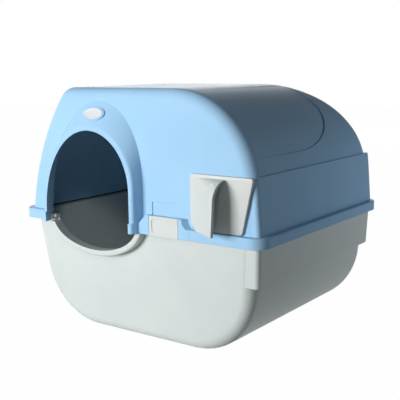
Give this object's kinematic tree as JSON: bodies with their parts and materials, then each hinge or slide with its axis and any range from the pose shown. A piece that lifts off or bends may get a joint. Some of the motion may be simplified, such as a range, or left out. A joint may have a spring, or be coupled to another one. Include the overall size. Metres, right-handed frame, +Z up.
{
  "type": "sifting litter box",
  "caption": "Hooded cat litter box that sifts when rolled over: grey tub, blue hood with arched doorway, snap clips, inner sieve screen and pull-out waste tray with a finger grip.",
  "frame": {"origin": "on the floor, under the middle of the skirt, at the middle of the flat underside of the base", "axes": "+Z up, -Y out of the front where the doorway and the tray are, +X to the right seen from the front"},
  "size_m": [0.48, 0.4286, 0.395],
  "materials": {
    "hood_blue": "satin moulded polypropylene with a fine pearl",
    "base_grey": "fine matt moulded polypropylene",
    "trim_grey": "satin moulded polypropylene",
    "inner_grey": "matt moulded polypropylene",
    "seal": "soft closed-cell strip",
    "screw": "zinc plated",
    "badge": "bare glossy plate"
  },
  "bodies": {
    "base": {"base_tub": "base_grey", "rim_seal": "seal"},
    "hood": {"hood_shell": "hood_blue", "badge_oval": "badge", "tray_channel": "inner_grey", "channel_screws": "screw", "sieve_screen": "inner_grey", "sieve_screws": "screw"},
    "tray": {"waste_tray": "inner_grey", "tray_front": "trim_grey"},
    "clip_front": {"front_clip": "trim_grey"},
    "clip_rear_left": {"rear_clip_left": "trim_grey"},
    "clip_rear_right": {"rear_clip_right": "trim_grey"}
  },
  "joints": [
    {"name": "hood_lift", "type": "slide", "parent": "base", "child": "hood", "axis": [0, 0, 1], "range_m": [0, 0.25]},
    {"name": "tray_slide", "type": "slide", "parent": "hood", "child": "tray", "axis": [0, -1, 0], "range_m": [0, 0.36]},
    {"name": "front_clip_hinge", "type": "hinge", "parent": "hood", "child": "clip_front", "pos_m": [0.0683, -0.1933, 0.2], "axis": [-1, 0, 0], "range_deg": [0, 85]},
    {"name": "rear_left_clip_hinge", "type": "hinge", "parent": "hood", "child": "clip_rear_left", "pos_m": [-0.11, 0.1933, 0.2], "axis": [1, 0, 0], "range_deg": [0, 85]},
    {"name": "rear_right_clip_hinge", "type": "hinge", "parent": "hood", "child": "clip_rear_right", "pos_m": [0.11, 0.1933, 0.2], "axis": [1, 0, 0], "range_deg": [0, 85]}
  ]
}
